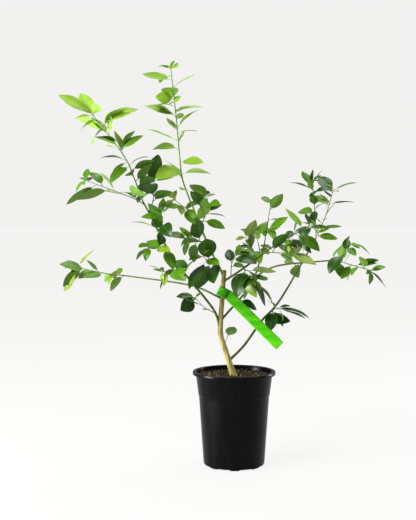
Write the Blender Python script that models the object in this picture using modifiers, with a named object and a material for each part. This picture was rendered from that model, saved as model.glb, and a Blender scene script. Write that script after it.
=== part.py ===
"""Potted key lime tree: a young citrus bush in a round nursery pot.

The pot stands on its flat underside, whose centre is the origin. The trunk rises from the potting mix,
is pruned at its top, and carries long slender boughs that end in masses of leafy twigs. Metres, +Z up.
"""

import bmesh
import bpy
import numpy as np
from mathutils.bvhtree import BVHTree

MM = 0.001
GAP = 0.3 * MM

POT_HEIGHT = 188 * MM
RIM_RADIUS = 82.5 * MM
RIM_DEPTH = 7 * MM
RIM_EDGE = 1.3 * MM
COLLAR_TOP_RADIUS = 76.4 * MM
COLLAR_FOOT_RADIUS = 71.0 * MM
STEP_HEIGHT = 140.5 * MM
STEP_WIDTH = 1.0 * MM
WALL_FOOT_RADIUS = 60.8 * MM
HEEL_HEIGHT = 4 * MM
HEEL_INSET = 3 * MM
POT_WALL = 1.6 * MM
POT_FLOOR = 2.0 * MM
POT_SIDES = 40
FOOT_COUNT = 8
DRAIN_HEIGHT = 2.6 * MM
DRAIN_INNER_RADIUS = 49 * MM
DRAIN_WIDTH = 27 * MM

SOIL_TOP = 176.7 * MM
SOIL_CROWN = 60 * MM
SOIL_EDGE_DROP = 1.5 * MM

TRUNK_FOOT = (-1, 0, 177)
LIMB_STEP = 15 * MM
TWIG_STEP = 18 * MM
FLARE_REACH = 12 * MM

# Each limb: what it grows from, at what share of it, its foot, middle and tip radii in mm, and its
# legs as (length in mm, compass heading, rise). Heading 0 is +X and 90 is +Y, in degrees.
LIMBS = {
    "trunk": (None, 0, (8.2, 5.2, 4.2), [(51, 180, 73), (32, 180, 72), (30, 180, 88), (102, 0, 86)]),
    "leader": ("trunk", 0.945, (2.6, 2.1, 1.6),
        [(23, 207, 61), (46, 208, 60), (54, 209, 66), (49, 201, 66)]),
    "left_bough": ("trunk", 0.44, (2.5, 2.0, 1.5),
        [(45, 204, 71), (90, 203, 50), (51, 206, 51), (123, 209, 60)]),
    "far_left_bough": ("trunk", 0.74, (2.0, 1.7, 1.3), [(78, 151, 18), (145, 156, 6)]),
    "right_bough": ("trunk", 0.9, (2.2, 1.9, 1.5), [(41, 336, 32), (91, 336, 35)]),
    "rear_bough": ("trunk", 0.535, (2.3, 1.9, 1.4), [(106, 39, 41), (88, 54, 57)]),
    "flat_bough": ("rear_bough", 0.61, (1.9, 1.6, 1.3), [(28, 345, 36), (47, 325, 18), (132, 315, 6)]),
    "low_bough": ("trunk", 0.15, (2.6, 2.1, 1.6),
        [(48, 32, 38), (62, 32, 48), (63, 31, 42), (153, 31, 54)]),
}

# Each twig: what it grows from, at what share, its foot radius in mm, its legs, the share where its
# leaves begin, the leaf length in mm there and at its tip, and a seed for each pair of leaves.
TWIGS = {
    "top": ("leader", 1, 1.5, [(43, 204, 70), (54, 228, 81), (65, 180, 85), (97, 143, 82)], 0.03, (50, 44),
        (3022, 4418, 3690, 3079, 5472, 5078, 472, 545)),
    "leader_right": ("leader", 0.66, 1.1, [(28, 29, 64), (38, 72, 70)], 0.2, (42, 38),
        (80, 5201, 4740, 1337)),
    "leader_left": ("leader", 0.82, 1.1, [(31, 210, 26), (25, 215, 33)], 0.25, (50, 44), (1865, 4032)),
    "leader_low": ("leader", 0.45, 1.1, [(51, 222, 8)], 0.15, (42, 38), (815, 2173, 5899)),
    "centre_left": ("leader", 0.2, 1.1, [(27, 234, 2), (24, 242, 31)], 0.1, (56, 50), (4273, 5441, 533)),
    "left_high": ("left_bough", 1, 1.4, [(47, 213, 67), (46, 209, 63), (96, 197, 52)], 0.05, (46, 58),
        (5052, 5823, 4340, 2720, 2087, 3738, 5984, 3356)),
    "left_side": ("left_bough", 0.97, 1.1, [(32, 214, 26), (99, 206, 19)], 0.1, (50, 56),
        (228, 5662, 265, 4095)),
    "left_mid": ("left_bough", 0.91, 1.1, [(32, 25, 73), (37, 88, 71)], 0.1, (46, 60),
        (1868, 3321, 2102)),
    "left_low": ("left_bough", 0.74, 1.1, [(26, 283, 64), (28, 266, 55)], 0.1, (46, 44),
        (3598, 4992, 2227)),
    "left_out": ("left_bough", 0.65, 1.1, [(44, 215, 6)], 0.1, (46, 46), (2751, 3186, 3569)),
    "left_inner": ("left_bough", 0.49, 1.1, [(45, 216, -3)], 0.1, (40, 38), (392, 2614, 5126)),
    "low_left": ("left_bough", 0.12, 1.0, [(27, 156, 24), (28, 146, 40)], 0.3, (34, 34), (5415, 2915)),
    "far_left": ("far_left_bough", 1, 1.2, [(50, 161, 5), (63, 167, 11)], 0.02, (36, 46),
        (3759, 5189, 2989, 5791, 1624, 451)),
    "centre": ("right_bough", 0.14, 1.1, [(28, 287, 77), (28, 325, 60)], 0.1, (42, 42),
        (2144, 173, 1234)),
    "right_low": ("right_bough", 0.37, 1.1, [(26, 305, -13), (27, 298, -32)], 0.0, (52, 48),
        (66, 1280, 1132, 330)),
    "centre_right": ("rear_bough", 0.82, 1.1, [(29, 188, 59), (30, 218, 57)], 0.1, (38, 36),
        (504, 1358, 3004)),
    "centre_rear": ("rear_bough", 0.88, 1.1, [(67, 102, 52)], 0.1, (38, 36), (146, 1269, 5640)),
    "rear_top": ("rear_bough", 1, 1.3, [(54, 57, 72), (43, 50, 76)], 0.1, (44, 38), (4303, 3797, 4915)),
    "right_tip": ("right_bough", 1, 1.4, [(84, 333, 28)], 0.03, (46, 44), (4661, 1375, 123, 2732, 3873)),
    "right_under": ("right_bough", 0.81, 1.1, [(65, 312, 0)], 0.2, (46, 42), (432, 4904)),
    "side_leaves": ("low_bough", 0.36, 1.0, [(21, 340, 45), (18, 323, 23)], 0.5, (64, 60), (1950, 3544)),
    "low_inner": ("low_bough", 0.76, 1.1, [(45, 115, 31)], 0.2, (36, 34), (306, 4917)),
    "trunk_leaf": ("trunk", 0.3, 0.9, [(19, 320, 64)], 0.99, (32, 32), (2626,)),
    "right_top": ("low_bough", 1, 1.4, [(34, 99, 80), (86, 131, 84)], 0.05, (36, 40),
        (5241, 309, 3715, 187, 717, 5457)),
    "right_top_side": ("right_top", 0.1, 1.1, [(35, 37, 48), (68, 43, 65)], 0.1, (40, 44),
        (759, 4559, 4710, 3011, 2432)),
    "flat_tip": ("flat_bough", 1, 1.2, [(84, 317, -12)], 0.02, (44, 42), (2988, 3058, 512, 3420, 372)),
    "flat_side": ("flat_tip", 0.15, 1.0, [(54, 284, 43)], 0.3, (38, 38), (3676, 1850)),
}

# A mass is one twig with the side twigs that fork from it; every other twig is a mass by itself.
SIDE_TWIGS = {"right_top_side": "right_top", "flat_side": "flat_tip"}
LONE_LEAF = "trunk_leaf"

LEAF_TURN = 137.5
PETIOLE_SHARE = 0.15
PETIOLE_RADIUS = 0.55 * MM
LEAF_STATIONS = (0.0, 0.15, 0.36, 0.66, 1.0)
LEAF_FOLD = 15
LEAF_THICKNESS = 0.022

TAG_SHARE = 0.80
TAG_TILT = 25
TAG_LOOP = (9.3 * MM, 6.3 * MM)
TAG_LOOP_WIDTH = 19 * MM
TAG_LOOP_TURN = (25, 352)
TAG_LAYER = 1.2 * MM
TAG_TAIL_LENGTH = 142 * MM
TAG_TAIL_WIDTH = 17 * MM
TAG_TAIL_HEADING = -10
TAG_TAIL_RISE = -44
TAG_THICKNESS = 0.6 * MM

for old in list(bpy.data.objects):
    bpy.data.objects.remove(old, do_unlink=True)

tree = bpy.data.collections.new("key_lime_tree")
guides = bpy.data.collections.new("guides")
bpy.context.scene.collection.children.link(tree)
bpy.context.scene.collection.children.link(guides)


def material(name, colour, roughness):
    """A Principled material of one colour."""
    made = bpy.data.materials.new(name)
    made.use_nodes = True
    shader = made.node_tree.nodes["Principled BSDF"]
    shader.inputs["Base Color"].default_value = (*colour, 1)
    shader.inputs["Roughness"].default_value = roughness
    return made


def add_object(name, data, finish, collection):
    """A new object with its material, linked to a collection."""
    made = bpy.data.objects.new(name, data)
    data.materials.append(finish)
    collection.objects.link(made)
    return made


def baked(source, name, finish, collection):
    """Turns an object with its modifiers into a plain mesh object, and removes the source."""
    evaluated = source.evaluated_get(bpy.context.evaluated_depsgraph_get())
    mesh = bpy.data.meshes.new_from_object(evaluated)
    mesh.materials.clear()
    made = add_object(name, mesh, finish, collection)
    made.matrix_world = source.matrix_world
    bpy.data.objects.remove(source, do_unlink=True)
    return made


def unit(vector):
    return vector / np.linalg.norm(vector)


def compass(heading, rise):
    """Unit vector from a compass heading and a rise above the horizontal, in degrees."""
    h, r = np.radians((heading, rise))
    return np.array((np.cos(r) * np.cos(h), np.cos(r) * np.sin(h), np.sin(r)))


def spaced(points, step):
    """Points at even distances of about one step along a polyline."""
    travelled = np.concatenate(([0], np.cumsum(np.linalg.norm(np.diff(points, axis=0), axis=1))))
    count = max(2, int(round(travelled[-1] / step)) + 1)
    marks = np.linspace(0, travelled[-1], count)
    return np.stack([np.interp(marks, travelled, points[:, axis]) for axis in range(3)], axis=-1)


def smooth(joints, step=4 * MM):
    """Catmull-Rom curve through the joints of a limb, at even steps."""
    p = np.asarray(joints)
    p = np.vstack((2 * p[0] - p[1], p, 2 * p[-1] - p[-2]))
    t = np.linspace(0, 1, 24, endpoint=False)[:, None]
    pieces = []
    for a, b, c, d in zip(p[:-3], p[1:-2], p[2:-1], p[3:]):
        bend = (2 * a - 5 * b + 4 * c - d) * t**2 + (3 * b - a - 3 * c + d) * t**3
        pieces.append(0.5 * (2 * b + (c - a) * t + bend))
    return spaced(np.vstack(pieces + [p[-2:-1]]), step)


def point_at(path, share):
    """The point of a path at a share of its length, and the path's direction there."""
    travelled = np.concatenate(([0], np.cumsum(np.linalg.norm(np.diff(path, axis=0), axis=1))))
    mark = share * travelled[-1]
    point = np.array([np.interp(mark, travelled, path[:, axis]) for axis in range(3)])
    i = min(max(np.searchsorted(travelled, mark, side="right"), 1), len(path) - 1)
    return point, unit(path[i] - path[i - 1])


def grow(parent_path, share, legs):
    """The axis of a limb or twig: legs laid end to end from a point on its parent."""
    if parent_path is None:
        start = np.array(TRUNK_FOOT) * MM
    else:
        start = point_at(parent_path, share)[0]
    joints = [start]
    for length, heading, rise in legs:
        joints.append(joints[-1] + length * MM * compass(heading, rise))
    return smooth(joints)


def limb_radius(name, share):
    """Radius of a limb or twig at a share of its length; the trunk flares at its foot."""
    share = np.asarray(share, float)
    if name in TWIGS:
        foot = TWIGS[name][2] * MM
        return foot * (1 - 0.55 * share)
    foot, middle, tip = (radius * MM for radius in LIMBS[name][2])
    if name == "trunk":
        length = sum(leg[0] for leg in LIMBS[name][3]) * MM
        return middle + (tip - middle) * share + (foot - middle) * np.exp(-share * length / FLARE_REACH)
    return np.interp(share, (0, 0.5, 1), (foot, middle, tip))


def clear_of_parent(name, path, parent, share, step):
    """Points of a limb from just outside its parent, which it leaves squarely, to its tip."""
    points = spaced(path, step)
    own = float(limb_radius(name, 0))
    foot, way = point_at(paths[parent], share)
    if share == 1:
        kept = points[np.linalg.norm(points - foot, axis=1) > 2.5 * own]
        return np.vstack((foot + way * GAP, foot + way * (GAP + own), kept))
    reach = float(limb_radius(parent, share)) + GAP
    off = points - foot
    off = off - np.outer(off @ way, way)
    away = np.linalg.norm(off, axis=1)
    kept = points[away > reach + 1.6 * own]
    first = off[away > reach + 1.6 * own][0]
    out = unit(first)
    collar = [foot + out * reach, foot + out * (reach + 0.8 * own)]
    return np.vstack((collar, kept))


def tube(name, points, radii, finish, collection, section=None):
    """A tapering tube along the points: round, or with the section of a guide curve."""
    curve = bpy.data.curves.new(name, "CURVE")
    curve.dimensions = "3D"
    curve.use_fill_caps = True
    spline = curve.splines.new("POLY")
    spline.points.add(len(points) - 1)
    spline.points.foreach_set("co", np.column_stack((points, np.ones(len(points)))).ravel())
    spline.points.foreach_set("radius", np.asarray(radii) / MM)
    if section is None:
        curve.bevel_depth = MM
        curve.bevel_resolution = 2
    else:
        curve.bevel_mode = "OBJECT"
        curve.bevel_object = section
    made = add_object(name, curve, finish, collection)
    return made


def leaf_pair(path, span, count, length, seed):
    """The leaves of one stretch of a twig, each a turn of the golden angle on from the last.

    A leaf is its root on the twig's axis, the way it points, the way its upper face looks, its
    length, width and how far its blade bends down from root to tip.
    """
    draws = np.random.default_rng(seed).uniform(-1, 1, (count + 1, 6))
    leaves = []
    for k, (turn, lift, roll, size, shape, place) in enumerate(draws[:count]):
        share = span[0] + (span[1] - span[0]) * (k + 0.5 + 0.3 * place) / count
        root, along = point_at(path, share)
        side = unit(np.cross(along, (0, 0, 1)))
        up = np.cross(side, along)
        angle = np.radians(180 * draws[count, 0] + LEAF_TURN * k + 35 * turn)
        outward = side * np.cos(angle) + up * np.sin(angle)
        lean = np.radians(60 + 28 * lift)
        way = along * np.cos(lean) + outward * np.sin(lean)
        level = np.array((0, 0, 1.0)) - way * way[2]
        level = unit(level) if np.linalg.norm(level) > 0.15 else outward
        tilt = np.radians(45 * roll)
        face = level * np.cos(tilt) + np.cross(way, level) * np.sin(tilt)
        long = length * MM * (1 + 0.34 * size)
        droop = np.radians(32 + 34 * shape * np.sign(turn * roll))
        leaves.append((root, way, face, long, long * (0.47 + 0.07 * shape), droop))
    return leaves


def nearest_on(points, place):
    """The point of a polyline that lies nearest to a place."""
    runs = np.diff(points, axis=0)
    share = np.sum((place - points[:-1]) * runs, axis=1) / np.sum(runs**2, axis=1)
    feet = points[:-1] + np.clip(share, 0, 1)[:, None] * runs
    return feet[np.argmin(np.linalg.norm(feet - place, axis=1))]


def twig_points(name):
    """The corners of a twig's tube, from just outside what it grows from to its tip."""
    parent, share = TWIGS[name][:2]
    if name in SIDE_TWIGS:
        return spaced(paths[name], TWIG_STEP)
    return clear_of_parent(name, paths[name], parent, share, TWIG_STEP)


def twig_leaves(name):
    """All leaves of a twig, pair by pair from where they begin to its tip, rooted on its tube."""
    first, (low, high), seeds = TWIGS[name][4:]
    stem = twig_points(name)
    leaves = []
    for k, seed in enumerate(seeds):
        span = [first + (1 - first) * (k + end) / len(seeds) for end in (0, 1)]
        length = low + (high - low) * (k + 0.5) / len(seeds)
        leaves += leaf_pair(paths[name], span, 1 if name == LONE_LEAF else 2, length, seed)
    return [(nearest_on(stem, root), *rest) for root, *rest in leaves]


def blade_half_width(share):
    """Half a blade's width over its full width, from the end of its stalk to its tip."""
    t = np.clip((share - PETIOLE_SHARE) / (1 - PETIOLE_SHARE), 0, 1)
    return 0.5 * np.sin(np.pi * t**0.82) ** 0.8


def leaf_mesh(leaf):
    """A leaf as a closed solid: stalk and blade in sections of four corners, closing at the tip."""
    root, way, face, length, width, droop = leaf
    s = np.array(LEAF_STATIONS)[:, None]
    rib = root + length * (np.sin(droop * s) * way - (1 - np.cos(droop * s)) * face) / droop
    normal = np.sin(droop * s) * way + np.cos(droop * s) * face
    side = np.cross(way, face)
    half = np.maximum(blade_half_width(s) * width, PETIOLE_RADIUS)
    fold = np.radians(LEAF_FOLD) * (blade_half_width(s) > 0)
    edge = half * np.cos(fold) * side
    raised = half * np.sin(fold) * normal
    deep = 0.5 * max(LEAF_THICKNESS * length, 2 * PETIOLE_RADIUS) * normal
    rings = np.stack((rib + edge + raised, rib + deep, rib - edge + raised, rib - deep), axis=1)
    verts = np.vstack((rings[:-1].reshape(-1, 3), rib[-1:]))
    faces = [(0, 1, 2, 3)]
    last = len(rings) - 2
    for ring in range(last):
        for k in range(4):
            a, b = 4 * ring + k, 4 * ring + (k + 1) % 4
            faces.append((a, a + 4, b + 4, b))
    faces += [(4 * last + k, 4 * last + 4, 4 * last + (k + 1) % 4) for k in range(4)]
    mesh = bpy.data.meshes.new("leaf")
    mesh.from_pydata(verts.tolist(), [], faces)
    work = bmesh.new()
    work.from_mesh(mesh)
    bmesh.ops.triangulate(work, faces=work.faces)
    bmesh.ops.recalc_face_normals(work, faces=work.faces)
    work.to_mesh(mesh)
    work.free()
    return mesh


def fuse(name, pieces, finish):
    """Joins closed pieces into one body with a Boolean union, and removes the pieces."""
    operands = bpy.data.collections.new(name + "_pieces")
    bpy.context.scene.collection.children.link(operands)
    for piece in pieces[1:]:
        tree.objects.unlink(piece)
        operands.objects.link(piece)
    joined = pieces[0].modifiers.new("union", "BOOLEAN")
    joined.operation = "UNION"
    joined.solver = "EXACT"
    joined.operand_type = "COLLECTION"
    joined.collection = operands
    made = baked(pieces[0], name, finish, tree)
    for piece in pieces[1:]:
        bpy.data.objects.remove(piece, do_unlink=True)
    bpy.data.collections.remove(operands)
    return made


def turned(name, profile, sides, finish):
    """A round body from a profile of (radius, height) points that starts and ends on the axis."""
    mesh = bpy.data.meshes.new(name)
    verts = [(radius, 0, height) for radius, height in profile]
    mesh.from_pydata(verts, [(i, i + 1) for i in range(len(verts) - 1)], [])
    made = add_object(name, mesh, finish, tree)
    screw = made.modifiers.new("turn", "SCREW")
    screw.steps = screw.render_steps = sides
    screw.use_merge_vertices = True
    screw.merge_threshold = 0.01 * MM
    screw.use_normal_calculate = False
    return made


def inner_radius(height):
    """Radius of the pot's inner wall at a height."""
    heights = (0, STEP_HEIGHT, STEP_HEIGHT + STEP_WIDTH, POT_HEIGHT)
    outer = (WALL_FOOT_RADIUS, COLLAR_FOOT_RADIUS - STEP_WIDTH, COLLAR_FOOT_RADIUS, COLLAR_TOP_RADIUS)
    return float(np.interp(height, heights, outer)) - POT_WALL


def make_pot():
    """The pot: rolled rim, tapered collar, step, tapered wall and a flat floor with drain slots."""
    step_inside = STEP_HEIGHT + STEP_WIDTH
    profile = [
        (0, POT_FLOOR),
        (inner_radius(POT_FLOOR) - HEEL_INSET, POT_FLOOR),
        (inner_radius(HEEL_HEIGHT), HEEL_HEIGHT + POT_FLOOR),
        (inner_radius(STEP_HEIGHT), STEP_HEIGHT),
        (inner_radius(step_inside), step_inside),
        (inner_radius(POT_HEIGHT), POT_HEIGHT - RIM_EDGE),
        (inner_radius(POT_HEIGHT) + RIM_EDGE, POT_HEIGHT),
        (RIM_RADIUS - RIM_EDGE, POT_HEIGHT),
        (RIM_RADIUS, POT_HEIGHT - RIM_EDGE),
        (RIM_RADIUS, POT_HEIGHT - RIM_DEPTH + RIM_EDGE),
        (RIM_RADIUS - RIM_EDGE, POT_HEIGHT - RIM_DEPTH),
        (COLLAR_TOP_RADIUS, POT_HEIGHT - RIM_DEPTH),
        (COLLAR_FOOT_RADIUS, STEP_HEIGHT),
        (COLLAR_FOOT_RADIUS - STEP_WIDTH, STEP_HEIGHT - STEP_WIDTH),
        (WALL_FOOT_RADIUS, HEEL_HEIGHT),
        (WALL_FOOT_RADIUS - HEEL_INSET, 0),
        (0, 0),
    ]
    pot = turned("pot", profile, POT_SIDES, black_plastic)
    length = 2 * (WALL_FOOT_RADIUS - DRAIN_INNER_RADIUS)
    for k in range(FOOT_COUNT):
        angle = 2 * np.pi * (k + 0.5) / FOOT_COUNT
        reach = DRAIN_INNER_RADIUS + length / 2
        place = (reach * np.cos(angle), reach * np.sin(angle), 0)
        bpy.ops.mesh.primitive_cube_add(size=1, location=place, rotation=(0, 0, angle))
        slot = bpy.context.active_object
        slot.name = f"drain_cutter_{k}"
        slot.scale = (length, DRAIN_WIDTH, 2 * DRAIN_HEIGHT)
        for home in list(slot.users_collection):
            home.objects.unlink(slot)
        guides.objects.link(slot)
        slot.hide_render = True
        slot.display_type = "WIRE"
        cut = pot.modifiers.new(f"drain_{k}", "BOOLEAN")
        cut.operation = "DIFFERENCE"
        cut.solver = "EXACT"
        cut.object = slot


def make_soil():
    """The potting mix: it fills the pot, level round the trunk and a little lower at the wall."""
    def side(height):
        return (inner_radius(height) - GAP, height)
    floor = POT_FLOOR + GAP
    profile = [
        (0, SOIL_TOP),
        (SOIL_CROWN, SOIL_TOP),
        side(SOIL_TOP - SOIL_EDGE_DROP),
        side(STEP_HEIGHT + 2 * STEP_WIDTH),
        (inner_radius(STEP_HEIGHT) - GAP, STEP_HEIGHT),
        (inner_radius(HEEL_HEIGHT) - HEEL_INSET, 3 * HEEL_HEIGHT),
        (inner_radius(HEEL_HEIGHT) - 2 * HEEL_INSET, floor),
        (0, floor),
    ]
    turned("potting_mix", profile, POT_SIDES, dark_mix)


def make_limb(name):
    """One bough or the trunk: a single tapering round limb."""
    parent, share = LIMBS[name][:2]
    if parent is None:
        points = spaced(paths[name], LIMB_STEP)
        points = np.vstack((points[:1], points[:1] + (0, 0, 2 * MM), points[1:]))
    else:
        points = clear_of_parent(name, paths[name], parent, share, LIMB_STEP)
    walked = np.concatenate(([0], np.cumsum(np.linalg.norm(np.diff(points, axis=0), axis=1))))
    finish = green_bark if name == "leader" else tan_bark
    tube(name, points, limb_radius(name, walked / walked[-1]), finish, tree)


def make_twig(name):
    """A three-sided twig, closed at both ends, as a mesh ready to be joined to its leaves."""
    points = twig_points(name)
    walked = np.concatenate(([0], np.cumsum(np.linalg.norm(np.diff(points, axis=0), axis=1))))
    radii = limb_radius(name, walked / walked[-1])
    curve = tube(name + "_twig", points, radii, leaf_green, tree, triangle)
    made = baked(curve, name + "_twig", leaf_green, tree)
    work = bmesh.new()
    work.from_mesh(made.data)
    bmesh.ops.remove_doubles(work, verts=work.verts, dist=0.001 * MM)
    bmesh.ops.recalc_face_normals(work, faces=work.faces)
    work.to_mesh(made.data)
    work.free()
    return made


def surface(piece):
    """The evaluated surface of an object, for telling what touches it."""
    evaluated = piece.evaluated_get(bpy.context.evaluated_depsgraph_get())
    mesh = evaluated.to_mesh()
    verts = [piece.matrix_world @ vert.co for vert in mesh.vertices]
    faces = [tuple(face.vertices) for face in mesh.polygons]
    evaluated.to_mesh_clear()
    return BVHTree.FromPolygons(verts, faces)


def make_mass(name):
    """A mass of leaves: its twig, any side twigs and their leaves, each clear of all else."""
    members = [name] + [side for side, stem in SIDE_TWIGS.items() if stem == name]
    pieces = [make_twig(member) for member in members]
    bpy.context.view_layer.update()
    taken = [surface(other) for other in tree.objects if other not in pieces]
    for member in members:
        for leaf in twig_leaves(member):
            piece = add_object("leaf", leaf_mesh(leaf), leaf_green, tree)
            bpy.context.view_layer.update()
            if any(surface(piece).overlap(other) for other in taken):
                bpy.data.objects.remove(piece, do_unlink=True)
            else:
                pieces.append(piece)
    fuse(name, pieces, leaf_green)


def tag_path():
    """The strap of the tag: once round the trunk, then straight out and down to its free end.

    Returns the points along the middle of the strap, and the way its width runs at each.
    """
    centre = point_at(paths["trunk"], TAG_SHARE)[0]
    tilt = np.radians(TAG_TILT)
    axis = np.array((np.sin(tilt), 0, np.cos(tilt)))
    right = np.array((np.cos(tilt), 0, -np.sin(tilt)))
    front = np.array((0, -1, 0))
    turn = np.linspace(*TAG_LOOP_TURN, 28)
    angle = np.radians(turn)
    grow_out = TAG_LAYER * turn / 360
    loop = (
        centre
        + np.outer(np.cos(angle) * (TAG_LOOP[0] + grow_out), right)
        - np.outer(np.sin(angle) * (TAG_LOOP[1] + grow_out), -front)
    )
    way = compass(TAG_TAIL_HEADING, TAG_TAIL_RISE)
    last = loop[-1]
    bend = [last + 1.6 * MM * front + 0.3 * MM * right, last + 3.4 * MM * front + 1.6 * MM * right]
    start = bend[-1] + 1.5 * MM * way
    tail = [start + way * TAG_TAIL_LENGTH * share for share in (0.02, 0.35, 0.7, 1)]
    points = np.vstack((loop, bend, tail))
    tail_width = unit(np.cross(way, front) * -1)
    return points, axis, tail_width, len(loop)


def make_tag():
    """The plain green tie tag: one strap of flat plastic, looped round the trunk."""
    points, axis, tail_width, looped = tag_path()
    share = np.clip((np.arange(len(points)) - looped + 1) / 3, 0, 1)[:, None]
    across = axis * (1 - share) + tail_width * share
    across /= np.linalg.norm(across, axis=1)[:, None]
    half = 0.5 * (TAG_LOOP_WIDTH * (1 - share) + TAG_TAIL_WIDTH * share)
    verts = np.vstack((points + half * across, points - half * across))
    count = len(points)
    faces = [(i, i + 1, count + i + 1, count + i) for i in range(count - 1)]
    mesh = bpy.data.meshes.new("tie_tag")
    mesh.from_pydata(verts.tolist(), [], faces)
    tag = add_object("tie_tag", mesh, green_plastic, tree)
    thick = tag.modifiers.new("thickness", "SOLIDIFY")
    thick.thickness = TAG_THICKNESS
    thick.offset = 0


black_plastic = material("black_pot_plastic", (0.012, 0.012, 0.013), 0.42)
dark_mix = material("potting_mix", (0.045, 0.03, 0.02), 0.95)
tan_bark = material("tan_bark", (0.30, 0.25, 0.10), 0.8)
green_bark = material("green_bark", (0.22, 0.36, 0.06), 0.6)
leaf_green = material("leaf_green", (0.07, 0.20, 0.03), 0.4)
green_plastic = material("green_strap_plastic", (0.07, 0.46, 0.0), 0.3)

section_curve = bpy.data.curves.new("twig_section", "CURVE")
section_curve.dimensions = "2D"
section_spline = section_curve.splines.new("POLY")
section_spline.points.add(2)
for i, point in enumerate(section_spline.points):
    corner = 2 * np.pi * i / 3
    point.co = (MM * np.cos(corner), MM * np.sin(corner), 0, 1)
section_spline.use_cyclic_u = True
triangle = add_object("twig_section", section_curve, leaf_green, guides)
triangle.hide_render = True
triangle.display_type = "WIRE"

paths = {}
for limb, (parent, share, radii, legs) in LIMBS.items():
    paths[limb] = grow(paths.get(parent), share, legs)
for twig, row in TWIGS.items():
    paths[twig] = grow(paths[row[0]], row[1], row[3])

make_pot()
make_soil()
for limb in LIMBS:
    make_limb(limb)
make_tag()
for twig in TWIGS:
    if twig not in SIDE_TWIGS:
        make_mass(twig)
for piece in tree.objects:
    if piece.type == "MESH" and piece.name in ("pot", "potting_mix"):
        piece.data.shade_smooth()
        piece.data.set_sharp_from_angle(angle=np.radians(35))
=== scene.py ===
from collections import namedtuple

import bmesh
import bpy
import numpy as np
from mathutils import Matrix


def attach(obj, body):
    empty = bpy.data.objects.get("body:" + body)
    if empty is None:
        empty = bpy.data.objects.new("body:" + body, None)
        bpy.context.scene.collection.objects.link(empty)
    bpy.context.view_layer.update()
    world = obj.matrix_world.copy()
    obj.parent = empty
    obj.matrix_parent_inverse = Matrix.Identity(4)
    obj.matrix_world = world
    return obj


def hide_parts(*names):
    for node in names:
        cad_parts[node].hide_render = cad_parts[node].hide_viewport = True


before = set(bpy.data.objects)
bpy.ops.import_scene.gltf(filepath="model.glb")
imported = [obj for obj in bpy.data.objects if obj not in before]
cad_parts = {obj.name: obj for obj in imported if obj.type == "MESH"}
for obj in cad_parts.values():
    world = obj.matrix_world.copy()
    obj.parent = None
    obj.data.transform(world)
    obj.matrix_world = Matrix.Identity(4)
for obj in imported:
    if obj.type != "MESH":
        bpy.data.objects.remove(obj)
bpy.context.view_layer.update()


# Camera, floor and light: a nearly level view from just above the plant's middle, on a pale seamless
# floor under wide soft lights, as in a plain product photograph.
IMAGE_WIDTH, IMAGE_HEIGHT = 416, 520
CAMERA_PLACE = (-0.052, -2.0, 0.505)
CAMERA_PITCH = -2.75
FOCAL_PIXELS = 1010
SENSOR = 36

FLOOR_SIZE = 60
FLOOR_COLOUR = (0.07, 0.069, 0.068)
BACKDROP_COLOUR = (0.90, 0.893, 0.885)
FLOOR_GLOW = (0.50, 0.95)
BACKDROP_GLOW = (0.36, 0.985)
LIGHT_AIM = (0, 0, 0.4)
# Each light: its place, its width and its power in watts.
LIGHTS = {
    "window_left": ((-1.9, -1.7, 2.4), 1.1, 78),
    "strip_left": ((-1.6, -0.45, 0.2), 0.5, 46),
    "kicker_right": ((2.0, 1.0, 0.25), 0.5, 22),
    "fill_right": ((2.4, -1.2, 1.4), 1.0, 12),
    "overhead": ((0.3, 0.7, 2.8), 1.4, 28),
}


def unit(vector):
    """A vector over its own length."""
    return vector / np.linalg.norm(vector)


def linked(name, data):
    """A new object in the scene, from its mesh, camera or light."""
    made = bpy.data.objects.new(name, data)
    bpy.context.scene.collection.objects.link(made)
    return made


def plain_material(name, colour, roughness, specular=0.5):
    """A Principled material and its shader node."""
    made = bpy.data.materials.new(name)
    made.use_nodes = True
    shader = made.node_tree.nodes["Principled BSDF"]
    shader.inputs["Base Color"].default_value = (*colour, 1)
    shader.inputs["Roughness"].default_value = roughness
    shader.inputs["Specular IOR Level"].default_value = specular
    return made, shader


def lit_or_seen(tree, strengths, socket):
    """One strength for the light that a backdrop casts, and another for how bright the camera sees it."""
    light_path = tree.nodes.new("ShaderNodeLightPath")
    chosen = tree.nodes.new("ShaderNodeMapRange")
    chosen.inputs["To Min"].default_value, chosen.inputs["To Max"].default_value = strengths
    tree.links.new(light_path.outputs["Is Camera Ray"], chosen.inputs["Value"])
    tree.links.new(chosen.outputs["Result"], socket)


camera_data = bpy.data.cameras.new("camera")
camera_data.sensor_width = SENSOR
camera_data.lens = SENSOR * FOCAL_PIXELS / max(IMAGE_WIDTH, IMAGE_HEIGHT)
camera = linked("camera", camera_data)
camera.location = CAMERA_PLACE
camera.rotation_euler = (np.radians(90 + CAMERA_PITCH), 0, 0)
bpy.context.scene.camera = camera
bpy.context.scene.view_settings.view_transform = "Standard"

floor_mesh = bpy.data.meshes.new("studio_floor")
corners = [(x * FLOOR_SIZE / 2, y * FLOOR_SIZE / 2, 0) for x, y in ((-1, -1), (1, -1), (1, 1), (-1, 1))]
floor_mesh.from_pydata(corners, [], [(0, 1, 2, 3)])
floor_material, floor_shader = plain_material("studio_floor", FLOOR_COLOUR, 1.0)
floor_shader.inputs["Emission Color"].default_value = (*BACKDROP_COLOUR, 1)
lit_or_seen(floor_material.node_tree, FLOOR_GLOW, floor_shader.inputs["Emission Strength"])
floor_mesh.materials.append(floor_material)
floor = linked("studio_floor", floor_mesh)

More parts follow.
